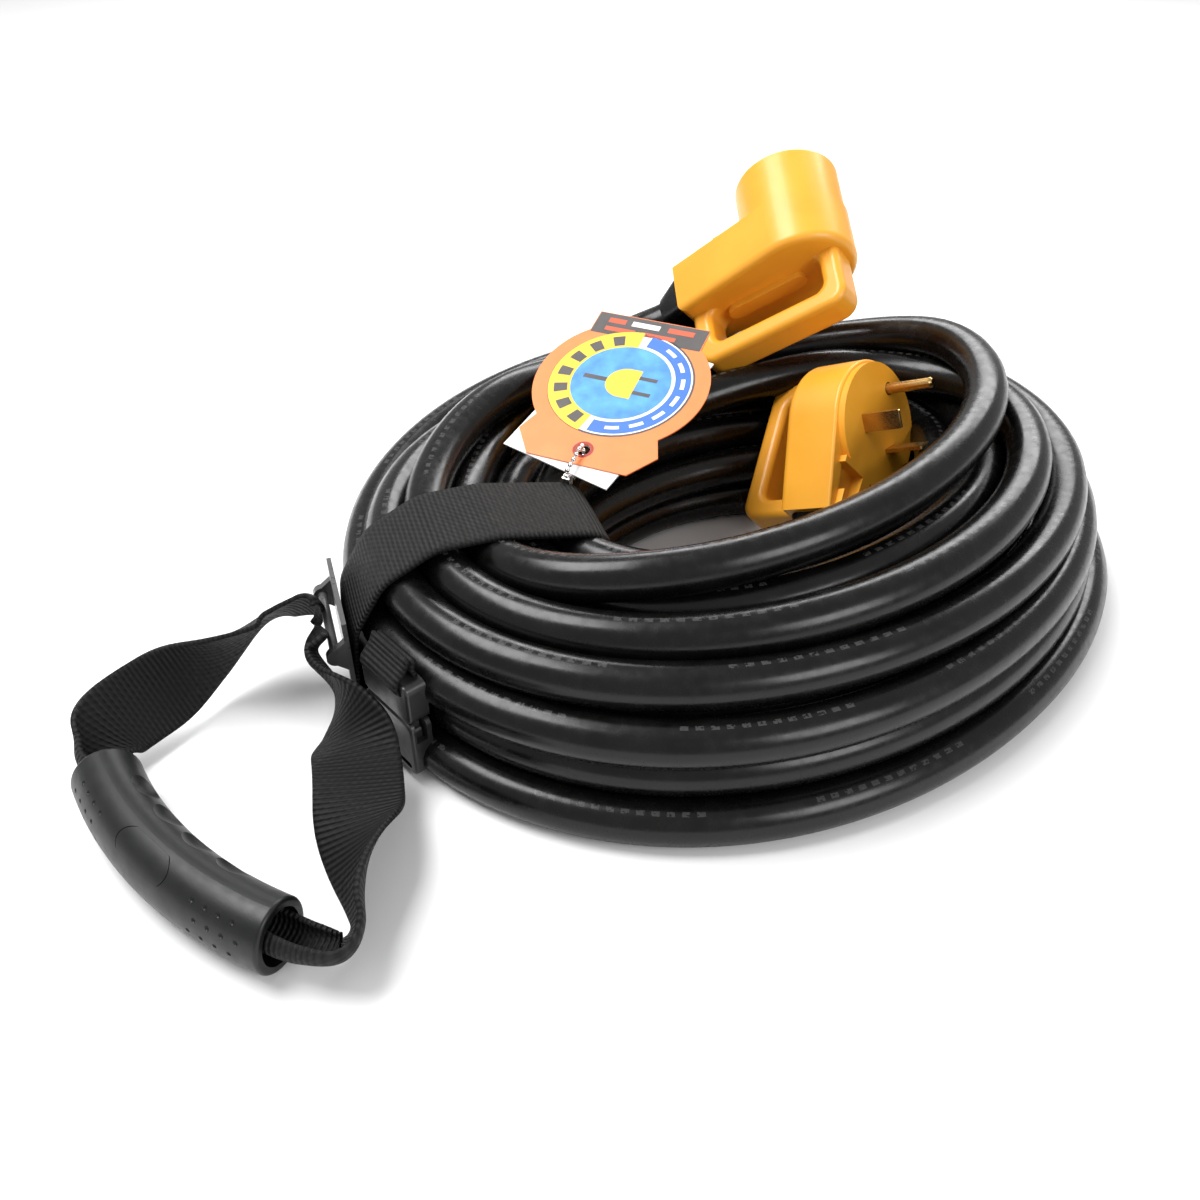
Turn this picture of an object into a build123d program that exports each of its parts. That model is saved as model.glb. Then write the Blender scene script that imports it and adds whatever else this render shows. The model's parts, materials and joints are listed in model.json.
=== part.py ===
from build123d import *
from math import cos, radians, sin, tan
import os

# A 30 A shore power cord for a caravan, coiled and lying on a flat surface, 15.24 m (50 ft) long.
# A three-pin plug lies in the middle of the coil and a matching connector rests on its back.
# A webbing strap with a buckle ties the coil at its left, and a carry loop with a grip hangs from it.
# X runs to the right along the coil, Y to the back, Z up. The origin is on the surface that the
# coil lies on, under the middle of the whole object. Lengths are millimetres.

os.makedirs("parts", exist_ok=True)

# ---------------------------------------------------------------- driving dimensions
cord_d = 17.5                # outer diameter of the jacketed three-core cord
cord_r = cord_d / 2
wire_d = 4.6                 # one insulated core
coil_height = 63.0
coil_round = 19.0            # rounding of the coil's edges

wall = 2.5                   # wall of the moulded heads
head_rear = 17.0             # depth of a head behind its seam
cord_z = -4.2                # the cord's centre line, from the seam
neck_half = 17.0             # half width of a head's neck at its end
handle_gap = 18.5            # finger gap behind a head
handle_bar = 9.5             # thickness of the handle's bar
handle_width = 17.0
handle_round = 3.2           # rounding of the handle's edges
handle_root = 14.0           # the loop is drawn this far into the head, then cut off at its back

plug_radius = 29.5
plug_neck = 48.0             # from the head's axis to the end of its neck
plug_front = 9.0             # depth in front of the seam, before the raised face
plug_face_rise = 3.0
socket_radius = 25.0
socket_neck = 57.0
socket_front = 35.0

ground_r = 2.38              # 3/16 in round ground pin
shank_r = 2.9                # of the ground pin below the face, which ends in a shoulder
ground_length = 21.4
blade_thick = 1.6
blade_width = 7.94
blade_length = 17.5
ground_to_blades = 24.0      # along the face, from the ground pin to the blades' line
blade_y = 11.4
plug_ground_x = 19.0         # the ground pin's place on each face
socket_ground_x = 14.0
fit_gap = 0.06               # clearance round a contact in its slot

strap_width = 38.0           # 1.5 in webbing
strap_thick = 2.0
strap_centre = (-76.0, -42.0)
strap_out = (-0.951, -0.309)   # from the hole to the outside of the coil, along the strap

grip_radius = 170.0          # of the grip's own curve, seen from above
grip_half_angle = 17.3
grip_wide = 24.0
grip_high = 27.0
grip_wall = 3.0

tag_width = 76.0
tag_thick = 0.6
tag_hole_r = 3.0
chain_r = 1.2


# ---------------------------------------------------------------- placing planes
# A head's own frame: X from the cord towards the head, Z out of its face, origin on the seam.
plug_seat = Plane(origin=(91.7, 50.8, 58.8), x_dir=(0.28, 0.788, 0.548), z_dir=(0.71, -0.552, 0.431))
socket_seat = Plane(origin=(69.0, 119.0, 116.6), x_dir=(0.801, -0.217, 0.557), z_dir=(-0.09, 0.876, 0.471))

# The strap's frame: X outwards, Y up, origin on the surface under the middle of the bundle.
strap_seat = Plane(
    origin=(strap_centre[0], strap_centre[1], 0),
    x_dir=(strap_out[0], strap_out[1], 0),
    z_dir=(strap_out[1], -strap_out[0], 0),
)

# The buckle's frame: Y up, Z away from the coil's outer wall.
buckle_seat = Plane(origin=(-92.2, -90.0, 3.0), x_dir=(0.66, -0.75, 0), z_dir=(-0.75, -0.66, 0))

# The grip's frame: origin at the centre of its curve, X towards the grip's middle.
grip_middle = (-163.0, -155.0)
grip_out = (-0.657, -0.754)
grip_centre = [middle - grip_radius * out for middle, out in zip(grip_middle, grip_out)]
grip_seat = Plane(
    origin=(*grip_centre, grip_high / 2),
    x_dir=(grip_out[0], grip_out[1], 0),
    z_dir=(0, 0, 1),
)

# The tag's frame: origin at its hole, Y up the card, Z out of its printed side.
tag_seat = Plane(origin=(-28.8, 6.0, 74.2), x_dir=(0.912, -0.409, 0), z_dir=(-0.1235, -0.2754, 0.952))


# The pieces are laid out from the coil's hole, then moved so that the origin is under the object's middle.
to_origin = Location((-3.4, 16.1, 0))


def write(piece, name):
    """Move a finished piece to the shared origin, label it and save it."""
    piece.part.move(to_origin)
    piece.part.label = name
    export_step(piece.part, f"parts/{name}.step")


def corner_radii(points):
    """The largest smooth radius at each inner corner of a polyline."""
    radii = []
    for before, corner, after in zip(points, points[1:], points[2:]):
        first = Vector(*corner) - Vector(*before)
        second = Vector(*after) - Vector(*corner)
        turn = radians(first.get_angle(second))
        radii.append(0.45 * min(first.length, second.length) / tan(turn / 2))
    return radii


def world(seat, x, y, z):
    """A point of a placing plane's frame, in the part's frame."""
    place = seat.from_local_coords((x, y, z))
    return (place.X, place.Y, place.Z)


def head_outline(radius, neck):
    """A round head with a neck that narrows towards the cord."""
    Circle(radius)
    with Locations((4 - neck, 0)):
        Rectangle(8, 2 * neck_half)
    make_hull()


def blade_place(ground_x, side):
    """Where a blade stands on the face, turned so that the two make a V."""
    return Location((ground_x - ground_to_blades, side * blade_y, 0), (0, 0, side * 45))


def contact_slots(ground_x, round_r, gap):
    """The three contacts' outlines on a face: the round ground above two blades set in a V."""
    with Locations((ground_x, 0)):
        Circle(round_r + gap)
    with Locations(blade_place(ground_x, 1), blade_place(ground_x, -1)):
        Rectangle(blade_width + 2 * gap, blade_thick + 2 * gap)


# ---------------------------------------------------------------- the two moulded heads
def make_rear_shell(name, seat, radius, neck):
    """The back half of a head, hollow, with its pull handle and a rib that stiffens its back."""
    handle_low = 2 - neck
    handle_high = radius - 5
    handle_depth = handle_gap + handle_bar
    handle_middle = (handle_low + handle_high) / 2
    handle_length = handle_high - handle_low
    with BuildPart() as handle:
        with BuildSketch(Plane.XZ):
            with Locations((handle_middle, -head_rear - handle_depth / 2 + handle_root / 2)):
                RectangleRounded(handle_length, handle_depth + handle_root, 8)
            with Locations((handle_middle, -head_rear - handle_gap / 2)):
                RectangleRounded(handle_length - 2 * handle_bar, handle_gap, 5, mode=Mode.SUBTRACT)
        extrude(amount=handle_width / 2, both=True)
        fillet(handle.edges().filter_by(Axis.Y, reverse=True), radius=handle_round)
        with BuildSketch(Plane.XY.offset(0.01 - head_rear)):
            Rectangle(4 * neck, 4 * radius)
        extrude(amount=head_rear, mode=Mode.SUBTRACT)
    with BuildPart() as rear:
        with BuildSketch(Plane.XY.offset(-head_rear)):
            head_outline(radius, neck)
        extrude(amount=head_rear)
        fillet(rear.faces().sort_by(Axis.Z)[0].edges(), radius=3.5)
        add(handle.part)
        with BuildSketch(Plane.XY.offset(-head_rear - 3)):
            with Locations((-neck / 3, 0)):
                SlotOverall(neck * 0.7, 8)
        extrude(amount=4)
        with BuildSketch(Plane.XY.offset(wall - head_rear)):
            Circle(radius - wall)
            with Locations((3.5 + wall - neck, 0)):
                Rectangle(7, 2 * (neck_half - wall))
            make_hull()
        extrude(amount=head_rear, mode=Mode.SUBTRACT)
        cut_cord_seat(neck)
    rear.part.locate(seat.location)
    write(rear, name)


boot_waist_r = 9.6           # the boot's waist, held in the neck's end wall
boot_flange_r = 10.15
boot_bore_r = cord_r + 0.05
boot_length = 13.0           # of the taper outside the neck
clamp_start = 5.5            # of the collar, from the neck's end
clamp_length = 5.0


def cut_cord_seat(neck):
    """The hole in a neck's end wall and the room behind it for the boot's flange and the collar."""
    with Locations(Location((-neck, 0, cord_z), (0, 90, 0))):
        Cylinder(radius=boot_waist_r + fit_gap, height=3 * wall, mode=Mode.SUBTRACT)
    with Locations(Location((-neck + wall, 0, cord_z), (0, 90, 0))):
        Cylinder(radius=boot_flange_r + 0.1, height=14, mode=Mode.SUBTRACT,
                 align=(Align.CENTER, Align.CENTER, Align.MIN))


def make_boot(name, seat, neck):
    """The tapered strain relief, held by its waist in the end of a head's neck."""
    with BuildPart() as boot:
        with BuildSketch(Plane.YZ.offset(-neck - fit_gap)):
            with Locations((0, cord_z + 1.5)):
                RectangleRounded(1.7 * neck_half, 22.0, 5)
        with BuildSketch(Plane.YZ.offset(-neck - boot_length)):
            with Locations((0, cord_z)):
                Circle(cord_r + 2.0)
        loft()
        with Locations(Location((-neck + wall / 2, 0, cord_z), (0, 90, 0))):
            Cylinder(radius=boot_waist_r, height=wall + 0.4)
        with Locations(Location((-neck + wall + 1.3, 0, cord_z), (0, 90, 0))):
            Cylinder(radius=boot_flange_r, height=2.4)
        with Locations(Location((-neck, 0, cord_z), (0, 90, 0))):
            Cylinder(radius=boot_bore_r, height=60, mode=Mode.SUBTRACT)
    boot.part.locate(seat.location)
    write(boot, name)


def make_clamp(name, seat, neck):
    """The crimped collar that anchors the cord's jacket inside the neck."""
    with BuildPart() as clamp:
        with Locations(Location((-neck + clamp_start + clamp_length / 2, 0, cord_z), (0, 90, 0))):
            Cylinder(radius=boot_flange_r, height=clamp_length)
            Cylinder(radius=boot_bore_r, height=2 * clamp_length, mode=Mode.SUBTRACT)
    clamp.part.locate(seat.location)
    write(clamp, name)


wire_z = -8.6                # the wires leave the contacts' barrels here, below the carrier
jacket_in = 12.0             # the jacket ends this far inside the neck
barrel_reach = 10.0          # of a crimp barrel, from its contact
barrel_r = wire_d / 2 + 0.9


def make_wire(name, seat, start, end):
    """One insulated core, from its crimp barrel to the end of the cord's jacket."""
    points = [start, (end[0] + 12, start[1], start[2]), (end[0] + 4, end[1], end[2]), end]
    with BuildPart() as wire:
        with BuildLine():
            FilletPolyline(*points, radius=[min(6.0, r) for r in corner_radii(points)])
        with BuildSketch(Plane(origin=start, z_dir=(-1, 0, 0))):
            Circle(wire_d / 2)
        sweep()
    wire.part.locate(seat.location)
    write(wire, name)


def make_wires(prefix, seat, neck, ground_x, hot_side):
    """The three cores of one end."""
    jacket_end = jacket_in - neck
    ground_start = ground_x - barrel_reach
    blade_start = ground_start - ground_to_blades
    make_wire(f"{prefix}_ground_wire", seat, (ground_start, 0, wire_z), (jacket_end, 0, cord_z + 3.4))
    for core, side in (("hot", hot_side), ("neutral", -hot_side)):
        make_wire(f"{prefix}_{core}_wire", seat, (blade_start, side * blade_y, wire_z),
                  (jacket_end, side * 2.8, cord_z - 2.2))


def add_barrel(x, y):
    """A contact's crimp barrel, lying along X below the carrier, with the core's end in it."""
    with Locations(Location((x + 1 - (barrel_reach + 1) / 2, y, wire_z), (0, 90, 0))):
        Cylinder(radius=barrel_r, height=barrel_reach + 1)


contact_tail = wire_z        # the contacts reach down to their barrels


# ---------------------------------------------------------------- plug
make_rear_shell("plug_rear_shell", plug_seat, plug_radius, plug_neck)
make_boot("plug_strain_relief", plug_seat, plug_neck)
make_clamp("plug_cord_clamp", plug_seat, plug_neck)
make_wires("plug", plug_seat, plug_neck, plug_ground_x, 1)

face_r = plug_radius - 1.5
pocket_floor = 7.0
ridge_x = -27.0              # the ridge across the neck starts here, and the pockets end
carrier_r = face_r - wall - 0.1
with BuildPart() as plug_front_shell:
    with BuildSketch(Plane.XY):
        head_outline(plug_radius, plug_neck)
    extrude(amount=plug_front)
    fillet(plug_front_shell.faces().sort_by(Axis.Z)[-1].edges(), radius=1.2)
    with BuildSketch(Plane.XY.offset(plug_front - 2)):
        Circle(face_r)
    extrude(amount=plug_face_rise + 2)
    # A rib and the ridge across the neck's front stand up to the face, with a pocket at each side.
    with BuildSketch(Plane.XY.offset(plug_front - 2)):
        with Locations((-(face_r + plug_neck) / 2 + 2, 0)):
            Rectangle(plug_neck - face_r, 2 * neck_half - 6)
        with Locations((ridge_x + 1.5, 0)):
            Rectangle(3, 2 * 18)
    extrude(amount=plug_face_rise + 2)
    with BuildSketch(Plane.XY.offset(pocket_floor)):
        for side in (1, -1):
            with BuildLine():
                Polyline((ridge_x, side * 3), (ridge_x, side * 16), (-plug_neck + 2, side * 12.5),
                         (-plug_neck + 2, side * 4.5), close=True)
            make_face()
    extrude(amount=plug_front, mode=Mode.SUBTRACT)
    with BuildSketch(Plane.XY):
        Circle(face_r - wall)
        with Locations((3.5 + wall - plug_neck, 0)):
            Rectangle(7, 2 * (neck_half - wall))
        make_hull()
    extrude(amount=pocket_floor - 2.0, mode=Mode.SUBTRACT)
    with BuildSketch(Plane.XY):
        Circle(face_r - wall)
    extrude(amount=plug_front, mode=Mode.SUBTRACT)
    with BuildSketch(Plane.XY):
        contact_slots(plug_ground_x, shank_r, fit_gap)
    extrude(amount=plug_front + plug_face_rise, mode=Mode.SUBTRACT)
    cut_cord_seat(plug_neck)
plug_front_shell.part.locate(plug_seat.location)
write(plug_front_shell, "plug_front_shell")

with BuildPart() as plug_pin_carrier:
    with BuildSketch(Plane.XY.offset(-4)):
        Circle(carrier_r)
        with Locations((-carrier_r, 0)):
            Rectangle(8, 60, mode=Mode.SUBTRACT)
    extrude(amount=plug_front + 3.9)
    with BuildSketch(Plane.XY.offset(-4)):
        contact_slots(plug_ground_x, shank_r, fit_gap)
    extrude(amount=plug_front + 3.9, mode=Mode.SUBTRACT)
plug_pin_carrier.part.locate(plug_seat.location)
write(plug_pin_carrier, "plug_pin_carrier")

plug_face = plug_front + plug_face_rise
with BuildPart() as plug_ground_pin:
    add_barrel(plug_ground_x, 0)
    with BuildSketch(Plane.XY.offset(contact_tail)):
        with Locations((plug_ground_x, 0)):
            Circle(shank_r)
    extrude(amount=plug_face - contact_tail)
    with BuildSketch(Plane.XY.offset(plug_face)):
        with Locations((plug_ground_x, 0)):
            Circle(ground_r)
    extrude(amount=ground_length)
    chamfer(plug_ground_pin.faces().sort_by(Axis.Z)[-1].edges(), length=0.9)
plug_ground_pin.part.locate(plug_seat.location)
write(plug_ground_pin, "plug_ground_pin")

for blade_name, side in (("plug_hot_blade", 1), ("plug_neutral_blade", -1)):
    with BuildPart() as blade:
        add_barrel(plug_ground_x - ground_to_blades, side * blade_y)
        with BuildSketch(Plane.XY.offset(contact_tail)):
            with Locations(blade_place(plug_ground_x, side)):
                Rectangle(blade_width, blade_thick)
        extrude(amount=plug_face + blade_length - contact_tail)
        chamfer(blade.faces().sort_by(Axis.Z)[-1].edges(), length=0.4)
    blade.part.locate(plug_seat.location)
    write(blade, blade_name)

# ---------------------------------------------------------------- connector
make_rear_shell("connector_rear_shell", socket_seat, socket_radius, socket_neck)
make_boot("connector_strain_relief", socket_seat, socket_neck)
make_clamp("connector_cord_clamp", socket_seat, socket_neck)
make_wires("connector", socket_seat, socket_neck, socket_ground_x, -1)

socket_r = socket_radius - 0.8
shoulder_height = 12.0
with BuildPart() as connector_front_shell:
    with BuildSketch(Plane.XY):
        head_outline(socket_radius, socket_neck)
    extrude(amount=plug_front)
    with BuildSketch(Plane.XY.offset(plug_front - 1)):
        Circle(socket_r)
        with Locations((-socket_r, 0)):
            Rectangle(18, 2 * neck_half + 2)
        with Locations((socket_r, 0)):
            Rectangle(6, 60, mode=Mode.SUBTRACT)
        Circle(socket_r)
    extrude(amount=shoulder_height - plug_front + 1)
    with BuildSketch(Plane.XY.offset(plug_front - 1)):
        Circle(socket_r)
    extrude(amount=socket_front - plug_front + 1)
    fillet(connector_front_shell.faces().sort_by(Axis.Z)[-1].edges(), radius=1.5)
    with BuildSketch(Plane.XY):
        Circle(socket_radius - wall)
        with Locations((3.5 + wall - socket_neck, 0)):
            Rectangle(7, 2 * (neck_half - wall))
        make_hull()
    extrude(amount=plug_front - wall, mode=Mode.SUBTRACT)
    with BuildSketch(Plane.XY):
        Circle(socket_r - wall)
    extrude(amount=socket_front - wall, mode=Mode.SUBTRACT)
    with BuildSketch(Plane.XY):
        contact_slots(socket_ground_x, ground_r, 0.6)
    extrude(amount=socket_front, mode=Mode.SUBTRACT)
    cut_cord_seat(socket_neck)
connector_front_shell.part.locate(socket_seat.location)
write(connector_front_shell, "connector_front_shell")

contact_top = socket_front - wall - 1.5
sleeve_r = 3.9
clip_wide = blade_width + 2.4
clip_thick = 4.6
carrier_top = socket_front - wall - 0.1
with BuildPart() as connector_contact_carrier:
    with BuildSketch(Plane.XY.offset(-4)):
        Circle(socket_r - wall - 0.1)
        with Locations((-socket_r, 0)):
            Rectangle(10, 60, mode=Mode.SUBTRACT)
    extrude(amount=carrier_top + 4)
    with BuildSketch(Plane.XY.offset(-4)):
        with Locations((socket_ground_x, 0)):
            Circle(sleeve_r + fit_gap)
        with Locations(blade_place(socket_ground_x, 1), blade_place(socket_ground_x, -1)):
            Rectangle(clip_wide + 2 * fit_gap, clip_thick + 2 * fit_gap)
    extrude(amount=contact_top + 4, mode=Mode.SUBTRACT)
    with BuildSketch(Plane.XY.offset(-4)):
        contact_slots(socket_ground_x, ground_r, 0.6)
    extrude(amount=carrier_top + 4, mode=Mode.SUBTRACT)
connector_contact_carrier.part.locate(socket_seat.location)
write(connector_contact_carrier, "connector_contact_carrier")

with BuildPart() as connector_ground_contact:
    add_barrel(socket_ground_x, 0)
    with BuildSketch(Plane.XY.offset(contact_tail)):
        with Locations((socket_ground_x, 0)):
            Circle(sleeve_r)
    extrude(amount=contact_top - 0.1 - contact_tail)
    with BuildSketch(Plane.XY.offset(2)):
        with Locations((socket_ground_x, 0)):
            Circle(ground_r + 0.08)
    extrude(amount=socket_front, mode=Mode.SUBTRACT)
connector_ground_contact.part.locate(socket_seat.location)
write(connector_ground_contact, "connector_ground_contact")

for clip_name, side in (("connector_hot_contact", -1), ("connector_neutral_contact", 1)):
    with BuildPart() as clip:
        add_barrel(socket_ground_x - ground_to_blades, side * blade_y)
        with BuildSketch(Plane.XY.offset(contact_tail)):
            with Locations(blade_place(socket_ground_x, side)):
                Rectangle(clip_wide, clip_thick)
        extrude(amount=contact_top - 0.1 - contact_tail)
        with BuildSketch(Plane.XY.offset(8)):
            with Locations(blade_place(socket_ground_x, side)):
                Rectangle(clip_wide + 1, blade_thick + 0.16)
        extrude(amount=socket_front, mode=Mode.SUBTRACT)
    clip.part.locate(socket_seat.location)
    write(clip, clip_name)

# ---------------------------------------------------------------- coil and leads
band_in = -52.0              # where the strap runs down inside the hole
band_out = 44.0
band_top = coil_height + 0.4


def strap_band(gap):
    """The strap's outline round the bundle, with a gap on both its faces."""
    with Locations(((band_in + band_out) / 2, (band_top + strap_thick) / 2)):
        RectangleRounded(
            band_out - band_in + 2 * strap_thick + 2 * gap, band_top + strap_thick + 2 * gap, 10)
        RectangleRounded(
            band_out - band_in - 2 * gap, band_top - strap_thick - 2 * gap, 8, mode=Mode.SUBTRACT)


# The coil is loose and not quite round: its outside and its hole are smooth closed curves.
coil_outside = [(210, 84), (156, 144), (60, 156), (-40, 142), (-106, 88), (-122, 16),
                (-114, -44), (-84, -92), (-20, -137), (60, -126), (140, -66), (194, 8)]
coil_hole = [(-30, -22), (-4, -60), (46, -60), (96, -22), (124, 34), (116, 84), (62, 96), (6, 56)]
with BuildPart() as cable_coil:
    with BuildSketch():
        with BuildLine():
            Spline(*coil_outside, periodic=True)
        make_face()
        with BuildSketch(mode=Mode.SUBTRACT):
            with BuildLine():
                Spline(*coil_hole, periodic=True)
            make_face()
    extrude(amount=coil_height)
    fillet(cable_coil.faces().sort_by(Axis.Z)[-1].edges(), radius=coil_round)
    fillet(cable_coil.faces().sort_by(Axis.Z)[0].edges(), radius=6)
    # The strap presses a shallow groove all round the bundle.
    with BuildSketch(strap_seat):
        strap_band(0.15)
    extrude(amount=strap_width / 2 + 0.5, both=True, mode=Mode.SUBTRACT)
write(cable_coil, "cable_coil")


def make_lead(name, seat, neck, after):
    """The cord's tube from inside a head to the coil, in straight runs joined by round corners."""
    start = world(seat, jacket_in - neck, 0, cord_z)
    leave = world(seat, -neck - boot_length - 20, 0, cord_z)
    points = [start, leave] + after
    radii = [min(120.0, r) for r in corner_radii(points)]
    with BuildPart() as lead:
        with BuildLine():
            FilletPolyline(*points, radius=radii)
        with BuildSketch(Plane(origin=start, z_dir=Vector(*leave) - Vector(*start))):
            Circle(cord_r)
        sweep()
    write(lead, name)


make_lead("plug_lead", plug_seat, plug_neck, [(52.0, -68.0, 10.5)])
make_lead("connector_lead", socket_seat, socket_neck, [(-40.0, 118.0, 52.0)])

# ---------------------------------------------------------------- strap and its slide
slide_face = band_out + strap_thick + 0.3
slide_thick = 1.8
bar_out = 52.0               # the slide's bar, that the carry loop hangs from
bar_high = 36.0
bar_r = 1.8
with BuildPart() as bundle_strap:
    with BuildSketch(strap_seat):
        strap_band(0)
    extrude(amount=strap_width / 2, both=True)
write(bundle_strap, "bundle_strap")

slide_half = strap_width / 2 + 2.5
with BuildPart() as strap_slide:
    with BuildSketch(strap_seat):
        with Locations((slide_face + slide_thick / 2, bar_high)):
            Rectangle(slide_thick, 30)
    extrude(amount=slide_half, both=True)
    for side in (1, -1):
        with BuildSketch(strap_seat.offset(side * (slide_half - 1.5))):
            with BuildLine():
                Polyline((slide_face, bar_high - 8), (bar_out, bar_high - 3.4), (bar_out, bar_high + 3.4),
                         (slide_face, bar_high + 8), close=True)
            make_face()
            with Locations((bar_out, bar_high)):
                Circle(3.4)
        extrude(amount=1.5, both=True)
    with BuildSketch(strap_seat):
        with Locations((bar_out, bar_high)):
            Circle(bar_r)
    extrude(amount=slide_half, both=True)
write(strap_slide, "strap_slide")

# ---------------------------------------------------------------- buckle
# A side-release buckle: the insert's two arms spring inwards and it slides up out of the housing.
buckle_half = 15.0
buckle_thick = 8.5
housing_high = 25.0
cavity_half = 12.6
cavity_thick = 4.6
buckle_mid = buckle_thick / 2
buckle_front = Axis(buckle_seat.origin, buckle_seat.z_dir)
with BuildPart() as buckle_housing:
    with BuildSketch(buckle_seat):
        with Locations((0, housing_high / 2)):
            RectangleRounded(2 * buckle_half, housing_high, 3)
    extrude(amount=buckle_thick)
    fillet(buckle_housing.faces().sort_by(buckle_front)[-1].edges(), radius=1.2)
    # The cavity is open at the mouth, and open at both sides where the thumbs press the arms.
    with BuildSketch(buckle_seat.offset(buckle_mid - cavity_thick / 2)):
        with Locations((0, 6 + housing_high / 2)):
            Rectangle(2 * cavity_half, housing_high)
        with Locations((0, 16 + housing_high / 2)):
            Rectangle(4 * buckle_half, housing_high)
    extrude(amount=cavity_thick, mode=Mode.SUBTRACT)
    with BuildSketch(buckle_seat.offset(-1)):
        with Locations((0, 3.6)):
            SlotOverall(2 * buckle_half - 6, 2.4)
    extrude(amount=buckle_thick + 2, mode=Mode.SUBTRACT)
write(buckle_housing, "buckle_housing")

insert_low = housing_high + 0.4
insert_high = 17.0
arm_thick = 3.4
arm_root = insert_low + 3.0
arm_x = 9.2
with BuildPart() as buckle_insert:
    with BuildSketch(buckle_seat):
        with Locations((0, insert_low + insert_high / 2)):
            RectangleRounded(2 * buckle_half, insert_high, 3)
    extrude(amount=buckle_thick)
    fillet(buckle_insert.faces().sort_by(buckle_front)[-1].edges(), radius=1.2)
    # The guide tongue, between the two arms.
    with BuildSketch(buckle_seat.offset(buckle_mid - arm_thick / 2)):
        with Locations((0, insert_low - 7)):
            Rectangle(5, 18)
    extrude(amount=arm_thick)
    # Sockets that the arms' roots turn in.
    with BuildSketch(buckle_seat.offset(buckle_mid - arm_thick / 2 - 0.3)):
        with Locations((arm_x, arm_root), (-arm_x, arm_root)):
            Circle(3.4)
        with Locations((arm_x, arm_root - 3), (-arm_x, arm_root - 3)):
            Rectangle(8.2, 6.2)
    extrude(amount=arm_thick + 0.6, mode=Mode.SUBTRACT)
    with BuildSketch(buckle_seat.offset(-1)):
        with Locations((0, insert_low + insert_high - 3.6)):
            SlotOverall(2 * buckle_half - 6, 3.0)
    extrude(amount=buckle_thick + 2, mode=Mode.SUBTRACT)
write(buckle_insert, "buckle_insert")

for arm_name, side in (("buckle_arm_right", 1), ("buckle_arm_left", -1)):
    with BuildPart() as arm:
        with BuildSketch(buckle_seat.offset(buckle_mid - arm_thick / 2)):
            with Locations((side * arm_x, arm_root)):
                Circle(3.0)
            with Locations((side * (arm_x + 0.3), arm_root - 6)):
                Rectangle(3.2, 12)
            with Locations((side * (arm_x + 0.7), arm_root - 12)):
                RectangleRounded(5, 8, 1.6)
        extrude(amount=arm_thick)
    write(arm, arm_name)

tab_thick = 1.6
with BuildPart() as buckle_insert_tab:
    with BuildSketch(buckle_seat):
        with Locations((0, insert_low + insert_high + 5)):
            Rectangle(22, 10)
    extrude(amount=tab_thick)
write(buckle_insert_tab, "buckle_insert_tab")

# ---------------------------------------------------------------- carry loop
# One webbing runs from the slide's bar, through the grip and back to the bar. It lies flat where it
# comes down from the bar, and is folded on edge where it passes through the grip.
loop_width = 14.0
loop_thick = 3.6
loop_middle = grip_high / 2
beta = radians(grip_half_angle + 5.0)
left_fold_run = 9.0          # straight on from the grip's curve to each fold
right_fold_run = 10.0
yoke_out = 73.0              # the doubled webbing by the bar reaches this far
left_branch = 10.0           # along the bar, from its middle
right_branch = -10.0
branch_out = 66.0


def past_grip(angle, along):
    """A point straight on from the grip's curve, past one of its ends, seen from above."""
    end = 1 if angle > 0 else -1
    x = grip_radius * cos(angle) - along * sin(abs(angle))
    y = grip_radius * sin(angle) + end * along * cos(angle)
    return world(grip_seat, x, y, 0)[:2]


left_low = world(strap_seat, 108, 0, left_branch)[:2]
right_low = (-104.0, -132.0)
right_high = world(strap_seat, branch_out, 0, right_branch)[:2]
right_way = (right_low[0] - right_high[0], right_low[1] - right_high[1])
right_seat = Plane(origin=(*right_high, 0), x_dir=(*right_way, 0), z_dir=(right_way[1], -right_way[0], 0))
right_reach = (right_way[0] ** 2 + right_way[1] ** 2) ** 0.5
on_edge = [
    left_low,
    past_grip(-beta, left_fold_run),
    world(grip_seat, grip_radius / cos(beta), 0, 0)[:2],
    past_grip(beta, right_fold_run),
    (-98.0, -174.0),
    right_low,
]
with BuildPart() as carry_webbing:
    with BuildSketch(Plane.XY.offset(loop_middle)):
        with BuildLine():
            FilletPolyline(*on_edge, radius=[9, grip_radius, 4.5, 30])
        trace(line_width=loop_thick)
    extrude(amount=loop_width / 2, both=True)
    with BuildSketch(strap_seat.offset(left_branch)):
        with BuildLine():
            FilletPolyline((branch_out, bar_high), (82, 25), (110, loop_middle), radius=30)
        trace(line_width=loop_thick)
    extrude(amount=loop_width / 2, both=True)
    with BuildSketch(right_seat):
        with BuildLine():
            FilletPolyline((0, bar_high), (35, 24), (right_reach, loop_middle), radius=30)
        trace(line_width=loop_thick)
    extrude(amount=loop_width / 2, both=True)
    # The doubled end round the slide's bar.
    with BuildSketch(strap_seat):
        with Locations((bar_out, bar_high)):
            Circle(bar_r + 1.7)
        with Locations(((bar_out + yoke_out) / 2, bar_high)):
            Rectangle(yoke_out - bar_out, loop_thick)
    extrude(amount=17, both=True)
    with BuildSketch(strap_seat):
        with Locations((bar_out, bar_high)):
            Circle(bar_r + 0.3)
    extrude(amount=30, both=True, mode=Mode.SUBTRACT)
write(carry_webbing, "carry_webbing")

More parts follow.
